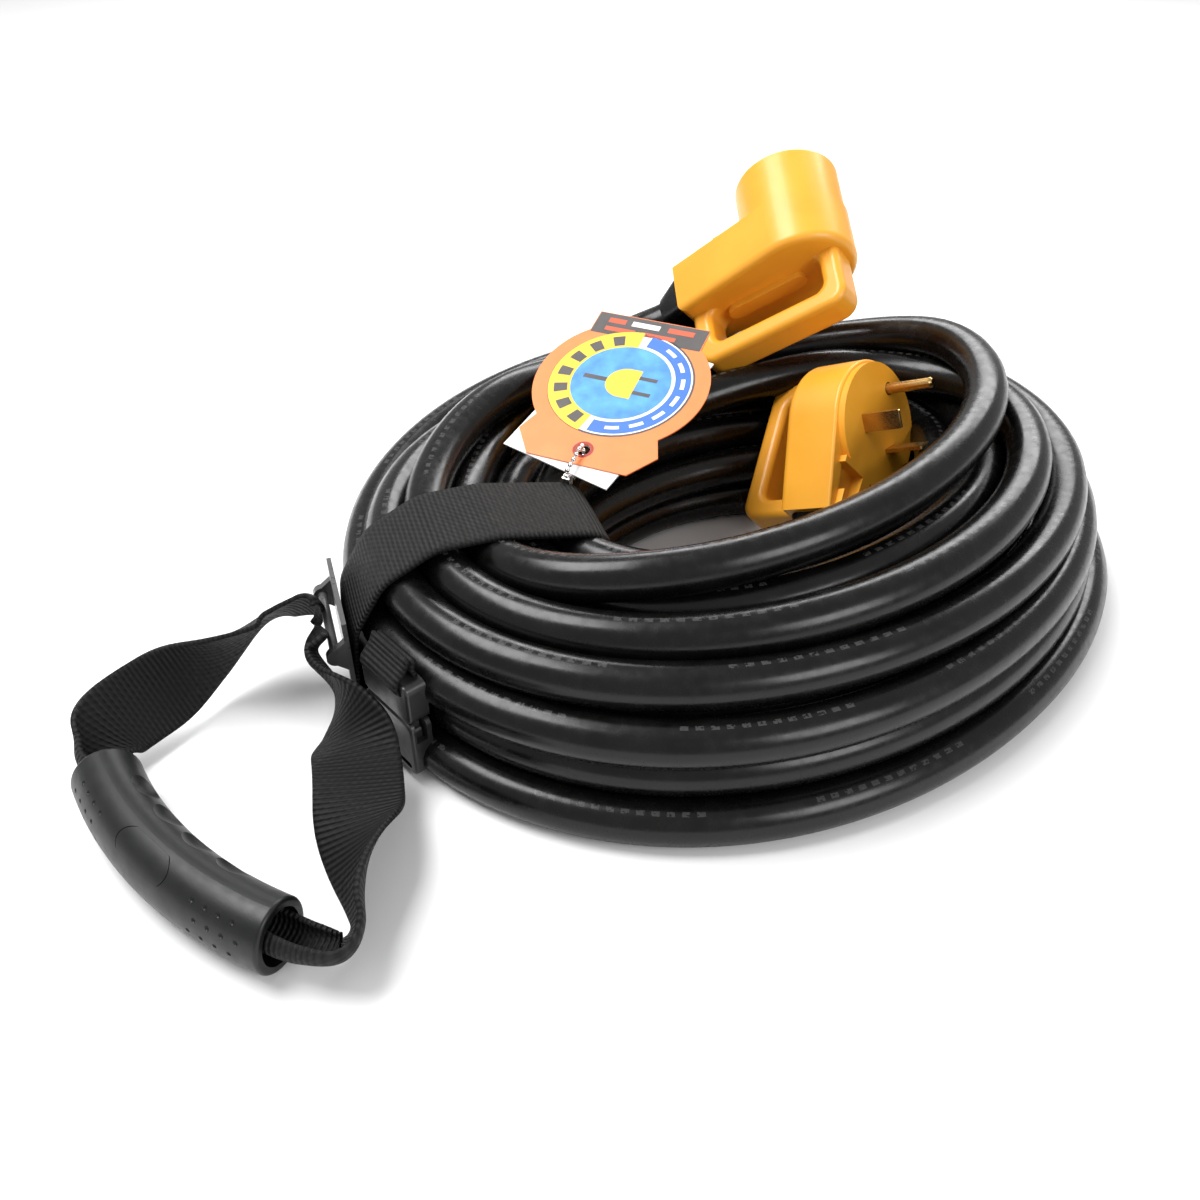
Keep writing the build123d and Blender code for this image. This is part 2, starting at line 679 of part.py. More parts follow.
half = radians(grip_half_angle)
grip_start = world(grip_seat, grip_radius * cos(half), -grip_radius * sin(half), 0)
grip_end = world(grip_seat, grip_radius * cos(half), grip_radius * sin(half), 0)
grip_way = Vector(*world(grip_seat, sin(half), cos(half), 0)) - grip_seat.origin
grip_section = Plane(origin=grip_start, z_dir=grip_way, x_dir=(0, 0, 1))
with BuildLine() as grip_curve:
    ThreePointArc(grip_start, world(grip_seat, grip_radius, 0, 0), grip_end)

# The blank oval sits in the grip's upper outer side.
badge_tilt = radians(55)
badge_length = 27.0
badge_width = 15.0
badge_depth = 1.2
badge_cut = 8.0
badge_from_centre = grip_radius + grip_wide / 2 * cos(badge_tilt)
badge_seat = Plane(
    origin=world(grip_seat, badge_from_centre, 0, grip_high / 2 * sin(badge_tilt)),
    x_dir=(-grip_out[1], grip_out[0], 0),
    z_dir=(grip_out[0] * cos(badge_tilt), grip_out[1] * cos(badge_tilt), sin(badge_tilt)),
)


def on_grip_skin(angle, around, above):
    """A point above the grip's skin: angle along its curve, and around its section from the outer side."""
    x = grip_wide / 2 * cos(radians(around))
    z = grip_high / 2 * sin(radians(around))
    out_x = x / (grip_wide / 2) ** 2
    out_z = z / (grip_high / 2) ** 2
    stretch = above / (out_x**2 + out_z**2) ** 0.5
    reach = grip_radius + x + stretch * out_x
    return world(grip_seat, reach * cos(radians(angle)), reach * sin(radians(angle)), z + stretch * out_z)


# Four shallow hollows for the fingers, and rows of small dimples towards both ends.
finger_angles = (-9.5, -3.4, 2.7, 8.8)
finger_r = 12.0
finger_depth = 2.0
finger_around = 138.0
dimple_r = 1.0
dimple_depth = 0.6
dimple_rows = (2.0, 26.0, 50.0)
dimple_columns = (8.6, 10.4, 12.2, 14.0)
with BuildPart() as grip:
    with BuildSketch(grip_section):
        Ellipse(grip_high / 2, grip_wide / 2)
    sweep(path=grip_curve.line)
    fillet(grip.faces().filter_by(GeomType.PLANE).edges(), radius=1.3)
    for angle in finger_angles:
        with Locations(on_grip_skin(angle, finger_around, finger_r - finger_depth)):
            Sphere(finger_r, mode=Mode.SUBTRACT)
    for row_number, around in enumerate(dimple_rows):
        for column in dimple_columns:
            along = column + 0.9 * (row_number % 2)
            for angle in (along, -along):
                with Locations(on_grip_skin(angle, around, dimple_r - dimple_depth)):
                    Sphere(dimple_r, mode=Mode.SUBTRACT)
    with BuildSketch(badge_seat.offset(-badge_depth)):
        Ellipse(badge_length / 2 + 0.3, badge_width / 2 + 0.3)
    extrude(amount=badge_cut, mode=Mode.SUBTRACT)
    with BuildSketch(grip_section):
        Ellipse(grip_high / 2 - grip_wall, grip_wide / 2 - grip_wall)
    sweep(path=grip_curve.line, mode=Mode.SUBTRACT)
write(grip, "grip")

with BuildPart() as grip_badge:
    with BuildSketch(grip_section):
        Ellipse(grip_high / 2, grip_wide / 2)
    sweep(path=grip_curve.line)
    with BuildSketch(badge_seat.offset(0.02 - badge_depth)):
        Ellipse(badge_length / 2, badge_width / 2)
    extrude(amount=badge_cut, mode=Mode.INTERSECT)
write(grip_badge, "grip_badge")

# ---------------------------------------------------------------- hang tag
with BuildPart() as hang_tag:
    with BuildSketch(tag_seat):
        with Locations((0, 40)):
            Circle(tag_width / 2)
        with Locations((0, 72)):
            Rectangle(52, 16)
        with BuildLine():
            Polyline((-22, -8), (22, -8), (31, 4), (27, 14), (-27, 14), (-31, 4), close=True)
        make_face()
        Circle(tag_hole_r, mode=Mode.SUBTRACT)
    extrude(amount=tag_thick)
write(hang_tag, "hang_tag")

card_gap = 0.1
with BuildPart() as backing_card:
    with BuildSketch(tag_seat.offset(-card_gap - tag_thick)):
        with Locations(Location((0, 28, 0), (0, 0, -12))):
            Rectangle(52, 80)
        Circle(tag_hole_r, mode=Mode.SUBTRACT)
    extrude(amount=tag_thick)
write(backing_card, "backing_card")

# A ball chain goes through the holes and round the card's lower edge, and a small clasp closes it.
chain_reach = 16.0
chain_high = 3.5
clasp_length = 3.2
chain_seat = Plane(origin=tag_seat.origin, x_dir=tag_seat.y_dir, z_dir=tag_seat.x_dir)
with BuildPart() as ball_chain:
    with BuildSketch(chain_seat):
        with Locations((-chain_reach / 2, 0)):
            RectangleRounded(chain_reach + 2 * chain_r, 2 * chain_high + 2 * chain_r, 4.4)
            RectangleRounded(chain_reach - 2 * chain_r, 2 * chain_high - 2 * chain_r, 2, mode=Mode.SUBTRACT)
        with Locations((-chain_reach, 0)):
            Rectangle(4 * chain_r, clasp_length + 0.1, mode=Mode.SUBTRACT)
    extrude(amount=chain_r, both=True)
write(ball_chain, "ball_chain")

with BuildPart() as chain_clasp:
    with BuildSketch(chain_seat):
        with Locations((-chain_reach, 0)):
            RectangleRounded(2.6 * chain_r, clasp_length, 0.6)
    extrude(amount=1.3 * chain_r, both=True)
write(chain_clasp, "chain_clasp")
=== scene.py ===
import json
from math import cos, pi, radians, sin

import bmesh
import bpy
import numpy as np
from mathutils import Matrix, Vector


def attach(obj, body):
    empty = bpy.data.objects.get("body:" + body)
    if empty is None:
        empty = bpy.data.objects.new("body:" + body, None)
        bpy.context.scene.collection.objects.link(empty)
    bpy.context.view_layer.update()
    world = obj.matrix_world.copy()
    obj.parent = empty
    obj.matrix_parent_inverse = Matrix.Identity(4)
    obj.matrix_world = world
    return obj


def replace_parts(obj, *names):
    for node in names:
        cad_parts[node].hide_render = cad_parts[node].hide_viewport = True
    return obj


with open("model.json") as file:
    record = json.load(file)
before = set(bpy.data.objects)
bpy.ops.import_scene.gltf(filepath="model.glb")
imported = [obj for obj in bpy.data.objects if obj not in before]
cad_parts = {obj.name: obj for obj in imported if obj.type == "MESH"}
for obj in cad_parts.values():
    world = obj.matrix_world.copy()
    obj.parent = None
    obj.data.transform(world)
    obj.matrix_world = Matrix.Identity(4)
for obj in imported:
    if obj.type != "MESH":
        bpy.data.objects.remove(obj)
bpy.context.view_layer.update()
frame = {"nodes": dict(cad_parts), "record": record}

# The layout's own axes are the frame's, in millimetres, with the origin by the coil's hole.
SHIFT = np.array((-3.4, 16.1, 0.0))


def metres(points):
    """Layout millimetres to the frame's metres."""
    return (np.asarray(points, float) + SHIFT) / 1000


def unit(v):
    v = np.asarray(v, float)
    return v / np.linalg.norm(v)


class Seat:
    """A placing plane of the CAD: origin, X, Y and Z in layout millimetres."""

    def __init__(self, origin, x, z):
        self.origin = np.array(origin, float)
        self.z = unit(z)
        self.x = unit(np.array(x, float) - np.dot(x, self.z) * self.z)
        self.y = np.cross(self.z, self.x)

    def at(self, x, y, z):
        return self.origin + x * self.x + y * self.y + z * self.z


PLUG = Seat((91.7, 50.8, 58.8), (0.28, 0.788, 0.548), (0.71, -0.552, 0.431))
SOCKET = Seat((69.0, 119.0, 116.6), (0.801, -0.217, 0.557), (-0.09, 0.876, 0.471))
STRAP = Seat((-76.0, -42.0, 0.0), (-0.951, -0.309, 0.0), (-0.309, 0.951, 0.0))
BUCKLE = Seat((-92.2, -90.0, 3.0), (0.66, -0.75, 0.0), (-0.75, -0.66, 0.0))
TAG = Seat((-28.8, 6.0, 74.2), (0.912, -0.409, 0.0), (-0.1235, -0.2754, 0.952))
GRIP_RADIUS = 170.0
GRIP_OUT = unit((-0.657, -0.754, 0.0))
GRIP = Seat(np.array((-163.0, -155.0, 13.5)) - GRIP_RADIUS * GRIP_OUT, GRIP_OUT, (0, 0, 1))
# A seat's Y is its Z turned onto X; these two are laid out with Y up and Y along the grip.
STRAP_W = STRAP.z
CORD_D = 17.5
CORD_R = CORD_D / 2
CORD_Z = -4.2

# ---------------------------------------------------------------- camera
camera = bpy.data.objects.new("camera", bpy.data.cameras.new("camera"))
camera.location = (-0.0254, -0.3759, 0.3083)
camera.rotation_euler = (radians(52), 0, 0)
camera.data.lens = 33.9
camera.data.sensor_width = 36
bpy.context.scene.collection.objects.link(camera)
bpy.context.scene.camera = camera
EYE = np.array(camera.location) * 1000 - SHIFT


# ---------------------------------------------------------------- the coil's route
COIL_OUTSIDE = [(210, 84), (156, 144), (60, 156), (-40, 142), (-106, 88), (-122, 16),
                (-114, -44), (-84, -92), (-20, -137), (60, -126), (140, -66), (194, 8)]
COIL_HOLE = [(-30, -22), (-4, -60), (46, -60), (96, -22), (124, 34), (116, 84), (62, 96), (6, 56)]
COIL_MIDDLE = np.array((52.0, 13.0))
ROUND = 2 * pi


def radius_by_angle(points):
    """The smoothed radius of a closed curve round the coil's middle, as a function of the angle."""
    p = np.array(points, float) - COIL_MIDDLE
    angle = np.arctan2(p[:, 1], p[:, 0])
    order = np.argsort(angle)
    samples = np.linspace(-pi, pi, 361)
    radius = np.interp(samples, angle[order], np.hypot(p[:, 0], p[:, 1])[order], period=ROUND)[:-1]
    kernel = np.hanning(41)
    padded = np.concatenate([radius[-40:], radius, radius[:40]])
    smooth = np.convolve(padded, kernel / kernel.sum(), "same")[40:-40]
    return lambda a: np.interp(a, samples[:-1], smooth, period=ROUND)


outside_radius = radius_by_angle(COIL_OUTSIDE)
hole_radius = radius_by_angle(COIL_HOLE)


def bump(angle, middle, half):
    """1 at the middle angle and 0 beyond half an angle away, in degrees."""
    away = np.abs((angle - radians(middle) + pi) % ROUND - pi) / radians(half)
    return 0.5 + 0.5 * np.cos(pi * np.minimum(away, 1))


def inner_wall(angle, z):
    low = np.clip((50 - z) / 30, 0, 1) * (1 - 0.8 * bump(angle, 203, 45))
    return hole_radius(angle) - (14 + 17 * bump(angle, -90, 110)) * low


def outer_wall(angle, z):
    low = np.clip((52 - z) / 30, 0, 1)
    high = np.clip((z - 24) / 45, 0, 1)
    at_strap = (5.5 + 13 * high) * bump(angle, 202, 50)
    return outside_radius(angle) + 4 + 5 * bump(angle, 10, 80) + 14 * bump(angle, 90, 75) * low - 16 * high + at_strap


# Each turn's place in the bundle: its distance in from the outer wall, and its height.
LANES = [(54, 9), (36, 9), (18, 9), (0, 9), (9, 24), (27, 24), (45, 24), (63, 24), (72, 9), (80, 24),
         (72, 39), (54, 39), (36, 39), (18, 39), (0, 39), (9, 54), (27, 54), (44, 54), (58, 50), (20, 66), (38, 66)]
START_ANGLE = 242
END_ANGLE = 147
POINTS_PER_TURN = 60
SPACING = 9.0


def resample(points, spacing):
    length = np.concatenate([[0], np.cumsum(np.linalg.norm(np.diff(points, axis=0), axis=1))])
    count = int(round(length[-1] / spacing)) + 1
    at = np.linspace(0, length[-1], count)
    return np.stack([np.interp(at, length, points[:, i]) for i in range(3)], axis=1)


def first_route():
    """The cord from the plug, round the coil's lanes and up to the connector."""
    rng = np.random.default_rng(4)
    turns = len(LANES) - 1 + (START_ANGLE - END_ANGLE) / 360
    k = np.linspace(0, turns, int(turns * POINTS_PER_TURN))
    angle = radians(START_ANGLE) - k * ROUND
    lane = np.clip(k, 0, len(LANES) - 1)
    whole = np.floor(lane)
    part = lane - whole
    lane = whole + part * part * (3 - 2 * part)
    inset = np.interp(lane, np.arange(len(LANES)), [place[0] for place in LANES])
    height = np.interp(lane, np.arange(len(LANES)), [place[1] for place in LANES])
    wobble = 0
    for m in (1, 2, 3, 4):
        wobble = wobble + rng.normal(0, 1) * np.sin(m * angle / 2.3 + rng.uniform(0, 6.28)) * 4.0 / m
    radius = np.maximum(outer_wall(angle, height) - CORD_R - inset * 0.97, inner_wall(angle, height) + CORD_R)
    radius = radius + 0.5 * wobble
    around = np.stack([COIL_MIDDLE[0] + radius * np.cos(angle), COIL_MIDDLE[1] + radius * np.sin(angle), height], 1)
    lead = [PLUG.at(x, 0, CORD_Z) for x in (-36, -50, -64, -78)] + [(63, -20, 11), (52, -45, 9), (30, -70, 9)]
    tail = [(-30, 126, 60), (-10, 131, 64)] + [SOCKET.at(x, 0, CORD_Z) for x in (-84, -70, -57, -45)]
    return resample(np.concatenate([np.array(lead), around, np.array(tail)]), SPACING)


STRAP_CEILING = 62.8         # the bundle's top under the strap
STRAP_INNER = -51.5
STRAP_OUTER = 43.0
TARGET_GAP = CORD_D - 0.3
HELD = 5                     # points at each end that the heads hold


# The heads and their handles, as boxes in their seats that no strand passes through.
HEAD_BOXES = [(PLUG, (-50, -27, -19), (29.5, 27, 12)), (PLUG, (-46, -8.5, -45), (24.5, 8.5, -17)),
              (SOCKET, (-62, -20, -19), (25, 20, 9)), (SOCKET, (-57, -8.5, -46), (22, 8.5, -17))]


def clear_of_heads(p, movable):
    """Push strands out of the heads' boxes."""
    for seat, low, high in HEAD_BOXES:
        axes = np.stack([seat.x, seat.y, seat.z])
        local = (p - seat.origin) @ axes.T
        nearest = np.clip(local, low, high)
        away = local - nearest
        gap = np.linalg.norm(away, axis=1)
        push = np.where(gap < 1e-6, 0, np.maximum(0, CORD_R + 0.6 - gap) / np.maximum(gap, 1e-6))
        p += np.where(movable, push, 0)[:, None] * (away @ axes)
        inside = movable & (gap < 1e-6)
        p[inside, 2] -= 2.5


def relax(points, steps):
    """Settle the cord: it keeps its curvature, sinks, and its turns push each other apart."""
    p = points.copy()
    home = points.copy()
    n = len(p)
    index = np.arange(n)
    ends = (index < HELD) | (index >= n - HELD)
    free = (index > 18) & (index < n - 12)
    pairs = None
    for step in range(steps):
        last = step > steps * 0.8
        loose = step >= steps - 24
        if step % 6 == 0:
            near = ((p[:, None, :] - p[None, :, :]) ** 2).sum(2) < (TARGET_GAP + 7) ** 2
            i, j = np.nonzero(near)
            apart = j - i > 4
            pairs = i[apart], j[apart]
        i, j = pairs
        clear_of_heads(p, (index > 14) & (index < n - 16))
        if not loose:
            p[:, 2] -= 0.16
            p[:, :2] += 0.02 * (home[:, :2] - p[:, :2])
        for stride, strength in ((1, 0.25), (3, 0.25), (6, 0.12)):
            bend = (p[:-2 * stride] + p[2 * stride:]) / 2 - p[stride:-stride]
            edge = np.pad(bend, ((stride, stride), (0, 0)), mode="edge")
            p[stride:-stride] += strength * (bend - (edge[:-2 * stride] + edge[2 * stride:]) / 2)
        for _ in range(3 if last else 2):
            v = p[i] - p[j]
            gap = np.maximum(np.linalg.norm(v, axis=1), 1e-6)
            v = v / gap[:, None] * (np.maximum(0, TARGET_GAP - gap) * 0.33)[:, None]
            for axis in range(3):
                p[:, axis] += np.bincount(i, v[:, axis], n) - np.bincount(j, v[:, axis], n)
        q = p[:, :2] - COIL_MIDDLE
        angle = np.arctan2(q[:, 1], q[:, 0])
        radius = np.hypot(q[:, 0], q[:, 1])
        low = inner_wall(angle, p[:, 2]) + CORD_R
        high = outer_wall(angle, p[:, 2]) - CORD_R
        kept = np.where(free & (not loose), np.clip(radius, low, high), radius)
        p[:, :2] = COIL_MIDDLE + q * (kept / np.maximum(radius, 1e-6))[:, None]
        # The strap gathers the bundle, and lets go of it gradually to each side.
        away = p - STRAP.origin
        u = away @ STRAP.x
        w = away @ STRAP_W
        slack = np.clip((np.abs(w) - 22) / 60, 0, 1) ** 2
        held = (np.abs(w) < 82) & (np.abs(u) < 75) & free & (not loose)
        ceiling = STRAP_CEILING - CORD_R + 40 * slack
        p[:, 2] = np.where(held, np.minimum(p[:, 2], ceiling), p[:, 2])
        clipped = np.clip(u, STRAP_INNER + CORD_R - 40 * slack, STRAP_OUTER - CORD_R + 40 * slack)
        p += np.where(held, clipped - u, 0)[:, None] * STRAP.x
        p[:, 2] = np.maximum(p[:, 2], CORD_R)
        p[ends] = home[ends]
    return p


route = relax(first_route(), 260)

# The cord's own control points are every other settled point.
control = np.concatenate([route[:-1:2], route[-1:]])
cord_curve = bpy.data.curves.new("power_cord", "CURVE")
cord_curve.dimensions = "3D"
cord_curve.resolution_u = 4
spline = cord_curve.splines.new("NURBS")
spline.points.add(len(control) - 1)
for point, place in zip(spline.points, metres(control)):
    point.co = (*place, 1)
    point.radius = CORD_R / 1000
spline.order_u = 3
spline.use_endpoint_u = True
power_cord = bpy.data.objects.new("power_cord", cord_curve)
bpy.context.scene.collection.objects.link(power_cord)

centre_mesh = bpy.data.meshes.new_from_object(power_cord)
cord_line = np.array([v.co[:] for v in centre_mesh.vertices]) * 1000 - SHIFT
bpy.data.meshes.remove(centre_mesh)
cord_curve.bevel_depth = 1.0
cord_curve.bevel_resolution = 6
cord_curve.use_fill_caps = True
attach(power_cord, "cord")
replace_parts(power_cord, "cable_coil", "plug_lead", "connector_lead")
CORD_LENGTH = 15.24


# ---------------------------------------------------------------- materials
def new_material(name, metallic=0.0, coat=0.0, coat_roughness=0.1, sheen=0.0, sheen_roughness=0.4, ior=1.5):
    """A material with its Principled shader; what is the same all over is set on its sockets."""
    material = bpy.data.materials.new(name)
    material.use_nodes = True
    nodes = material.node_tree.nodes
    shader = next(node for node in nodes if node.type == "BSDF_PRINCIPLED")
    shader.inputs["Metallic"].default_value = metallic
    shader.inputs["Coat Weight"].default_value = coat
    shader.inputs["Coat Roughness"].default_value = coat_roughness
    shader.inputs["Sheen Weight"].default_value = sheen
    shader.inputs["Sheen Roughness"].default_value = sheen_roughness
    shader.inputs["IOR"].default_value = ior
    return material, shader


def add(material, kind, **values):
    """A node with its input values or properties set."""
    node = material.node_tree.nodes.new(kind)
    for key, value in values.items():
        if key in node.inputs:
            node.inputs[key].default_value = value
        else:
            setattr(node, key, value)
    return node


def join(material, out, into):
    material.node_tree.links.new(out, into)


def noise(material, scale, detail=3.0, coords="Object", stretch=(1, 1, 1)):
    """Noise over the object's own coordinates."""
    where = add(material, "ShaderNodeTexCoord")
    mapping = add(material, "ShaderNodeMapping", Scale=stretch)
    join(material, where.outputs[coords], mapping.inputs["Vector"])
    texture = add(material, "ShaderNodeTexNoise", Scale=scale, Detail=detail)
    join(material, mapping.outputs["Vector"], texture.inputs["Vector"])
    return texture.outputs["Fac"]


def ramp(material, value, stops):
    """A colour ramp over a value; stops are (position, colour)."""
    node = add(material, "ShaderNodeValToRGB")
    elements = node.color_ramp.elements
    while len(elements) < len(stops):
        elements.new(0.5)
    for element, (position, colour) in zip(elements, stops):
        element.position = position
        element.color = (*colour, 1)
    join(material, value, node.inputs["Fac"])
    return node.outputs["Color"]


def grey(value):
    return (value, value, value)


def bumped(material, shader, height, strength, distance, under=None):
    node = add(material, "ShaderNodeBump", Strength=strength, Distance=distance)
    join(material, height, node.inputs["Height"])
    if under is not None:
        join(material, under, node.inputs["Normal"])
    join(material, node.outputs["Normal"], shader.inputs["Normal"])
    return node.outputs["Normal"]


def moulded(name, base, worn, rough, grain=2200, bump_strength=0.12, coat=0.0, mottle=35, **kind):
    """Moulded plastic or rubber: mottled colour, uneven gloss and a fine grain."""
    material, shader = new_material(name, coat=coat, **kind)
    large = noise(material, mottle, 4.0)
    join(material, ramp(material, large, [(0.3, base), (0.75, worn)]), shader.inputs["Base Color"])
    fine = noise(material, grain / 6, 3.0)
    join(material, ramp(material, fine, [(0.25, grey(rough[0])), (0.8, grey(rough[1]))]),
         shader.inputs["Roughness"])
    low = bumped(material, shader, large, 0.25, 0.0004)
    bumped(material, shader, noise(material, grain, 2.0), bump_strength, 0.0001, under=low)
    return material


def metal(name, base, tint, rough, scratch=(1, 1, 30)):
    """Bare metal with fine scratches and a slight tarnish."""
    material, shader = new_material(name, metallic=1.0)
    tarnish = noise(material, 160, 4.0)
    join(material, ramp(material, tarnish, [(0.35, base), (0.8, tint)]), shader.inputs["Base Color"])
    lines = noise(material, 700, 3.0, stretch=scratch)
    join(material, ramp(material, lines, [(0.3, grey(rough[0])), (0.7, grey(rough[1]))]),
         shader.inputs["Roughness"])
    bumped(material, shader, lines, 0.15, 0.00005)
    return material


ORANGE = (0.83, 0.37, 0.028)
ORANGE_DEEP = (0.76, 0.315, 0.018)
head_plastic = moulded("head_plastic", ORANGE, ORANGE_DEEP, (0.34, 0.44), coat=0.08)
insulator = moulded("insulator", grey(0.012), grey(0.02), (0.5, 0.62))
buckle_plastic = moulded("buckle_plastic", grey(0.009), grey(0.015), (0.3, 0.42), coat=0.1)
slide_plastic = moulded("slide_plastic", grey(0.05), grey(0.085), (0.25, 0.36), coat=0.25)
grip_rubber = moulded("grip_rubber", (0.0028, 0.003, 0.0032), (0.0055, 0.0058, 0.006), (0.36, 0.48),
                      grain=1500, bump_strength=0.2, ior=1.42)
brass = metal("brass_contact", (0.66, 0.44, 0.17), (0.5, 0.31, 0.12), (0.16, 0.34))
collar_metal = metal("collar_metal", grey(0.62), grey(0.5), (0.25, 0.4))
chain_metal = metal("chain_metal", grey(0.75), grey(0.6), (0.14, 0.28))
green_core = moulded("green_core", (0.02, 0.22, 0.05), (0.015, 0.17, 0.04), (0.3, 0.4))
black_core = moulded("black_core", grey(0.01), grey(0.016), (0.3, 0.4))
white_core = moulded("white_core", grey(0.7), grey(0.6), (0.3, 0.4))


def jacket_material():
    """Glossy black cord, a little dusty, with a faint row of printed dashes along it."""
    material, shader = new_material("cord_jacket", ior=1.38)
    where = add(material, "ShaderNodeTexCoord")
    parts = add(material, "ShaderNodeSeparateXYZ")
    join(material, where.outputs["UV"], parts.inputs["Vector"])
    dust = ramp(material, noise(material, 60, 5.0), [(0.35, (0.0022, 0.0021, 0.002)), (0.85, (0.006, 0.0058, 0.0056))])

    def math(operation, a, b=None):
        node = add(material, "ShaderNodeMath", operation=operation)
        for k, value in enumerate((a, b)):
            if value is None:
                continue
            if isinstance(value, (int, float)):
                node.inputs[k].default_value = value
            else:
                join(material, value, node.inputs[k])
        return node.outputs[0]

    along = math("MULTIPLY", parts.outputs["X"], CORD_LENGTH / 0.0052)
    dash = math("LESS_THAN", math("FRACT", along), 0.55)
    group = math("LESS_THAN", math("FRACT", math("MULTIPLY", along, 1 / 19)), 0.62)
    across = math("LESS_THAN", math("ABSOLUTE", math("SUBTRACT", parts.outputs["Y"], 0.14)), 0.017)
    worn = math("GREATER_THAN", noise(material, 900, 2.0), 0.42)
    printed = math("MULTIPLY", math("MULTIPLY", dash, group), math("MULTIPLY", across, worn))
    mix = add(material, "ShaderNodeMix", data_type="RGBA")
    join(material, printed, mix.inputs["Factor"])
    join(material, dust, mix.inputs["A"])
    mix.inputs["B"].default_value = (0.04, 0.04, 0.04, 1)
    join(material, mix.outputs["Result"], shader.inputs["Base Color"])
    join(material, ramp(material, noise(material, 240, 4.0), [(0.3, grey(0.2)), (0.75, grey(0.32))]),
         shader.inputs["Roughness"])
    low = bumped(material, shader, noise(material, 28, 3.0), 0.22, 0.0012)
    bumped(material, shader, noise(material, 900, 2.0), 0.03, 0.0001, under=low)
    return material


def webbing_material():
    """Black woven webbing: cross ribs over a fine twill, in the piece's own millimetres."""
    material, shader = new_material("webbing", ior=1.35)
    where = add(material, "ShaderNodeTexCoord")
    rib = add(material, "ShaderNodeTexWave", wave_type="BANDS", bands_direction="Y", Scale=0.17, Distortion=0.25)
    rib.inputs["Detail"].default_value = 1.0
    join(material, where.outputs["UV"], rib.inputs["Vector"])
    yarn = add(material, "ShaderNodeTexWave", wave_type="BANDS", bands_direction="DIAGONAL", Scale=0.21,
               Distortion=0.4)
    join(material, where.outputs["UV"], yarn.inputs["Vector"])
    join(material, ramp(material, rib.outputs["Fac"], [(0.15, grey(0.0015)), (0.9, (0.008, 0.0078, 0.0076))]),
         shader.inputs["Base Color"])
    join(material, ramp(material, noise(material, 500, 3.0), [(0.3, grey(0.62)), (0.8, grey(0.8))]),
         shader.inputs["Roughness"])
    low = bumped(material, shader, rib.outputs["Fac"], 0.9, 0.0005)
    bumped(material, shader, yarn.outputs["Fac"], 0.5, 0.0002, under=low)
    return material


cord_jacket = jacket_material()
webbing = webbing_material()
cord_curve.materials.append(cord_jacket)


def card_material(name, base, worn):
    """Printed card with a faint fibre grain."""
    material, shader = new_material(name, coat=0.25, coat_roughness=0.2)
    join(material, ramp(material, noise(material, 120, 4.0), [(0.3, base), (0.8, worn)]), shader.inputs["Base Color"])
    fibre = noise(material, 1800, 3.0)
    join(material, ramp(material, fibre, [(0.3, grey(0.38)), (0.8, grey(0.5))]), shader.inputs["Roughness"])
    bumped(material, shader, fibre, 0.1, 0.0001)
    return material


tag_orange = card_material("tag_card", (0.86, 0.22, 0.055), (0.8, 0.19, 0.045))
white_card = card_material("white_card", grey(0.78), grey(0.7))
ink_dark = card_material("ink_dark", (0.055, 0.05, 0.05), (0.08, 0.07, 0.065))
ink_red = card_material("ink_red", (0.62, 0.09, 0.03), (0.55, 0.075, 0.03))
ink_yellow = card_material("ink_yellow", (0.86, 0.55, 0.03), (0.78, 0.48, 0.03))
ink_blue = card_material("ink_blue", (0.03, 0.15, 0.5), (0.03, 0.12, 0.42))
ink_sky = card_material("ink_sky", (0.09, 0.36, 0.75), (0.03, 0.16, 0.5))
eyelet_red = moulded("eyelet_red", (0.35, 0.03, 0.02), (0.28, 0.02, 0.02), (0.3, 0.4))

SLOT_MATERIALS = {
    "head_plastic": head_plastic, "insulator": insulator, "brass_contact": brass, "green_core": green_core,
    "black_core": black_core, "white_core": white_core, "collar_metal": collar_metal,
    "buckle_plastic": buckle_plastic, "grip_rubber": grip_rubber, "tag_card": tag_orange,
    "white_card": white_card, "chain_metal": chain_metal, "webbing": webbing, "cord_jacket": cord_jacket,
}
for row in frame["record"]["subparts"]:
    node = frame["nodes"][row["node"]]
    for material_slot in node.material_slots:
        material_slot.material = SLOT_MATERIALS[row["material_slot"]]
for material_slot in frame["nodes"]["strap_slide"].material_slots:
    material_slot.material = slide_plastic


# ---------------------------------------------------------------- mesh helpers
def mesh_piece(name, vertices, faces, material, body, uvs=None, smooth=True, thickness=0.0):
    """A mesh object from layout millimetres, riding on its body."""
    mesh = bpy.data.meshes.new(name)
    mesh.from_pydata([tuple(v) for v in metres(vertices)], [], faces)
    if uvs is not None:
        layer = mesh.uv_layers.new(name="UVMap")
        for loop in mesh.loops:
            layer.data[loop.index].uv = uvs[loop.vertex_index]
    mesh.materials.append(material)
    for polygon in mesh.polygons:
        polygon.use_smooth = smooth
    piece = bpy.data.objects.new(name, mesh)
    bpy.context.scene.collection.objects.link(piece)
    if thickness:
        solid = piece.modifiers.new("thickness", "SOLIDIFY")
        solid.thickness = thickness / 1000
        solid.offset = 0
    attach(piece, body)
    return piece


def grid_faces(rows, columns, closed=False):
    """Quads between neighbouring rows of points."""
    faces = []
    for a in range(rows if closed else rows - 1):
        b = (a + 1) % rows
        for k in range(columns - 1):
            faces.append((a * columns + k, a * columns + k + 1, b * columns + k + 1, b * columns + k))
    return faces


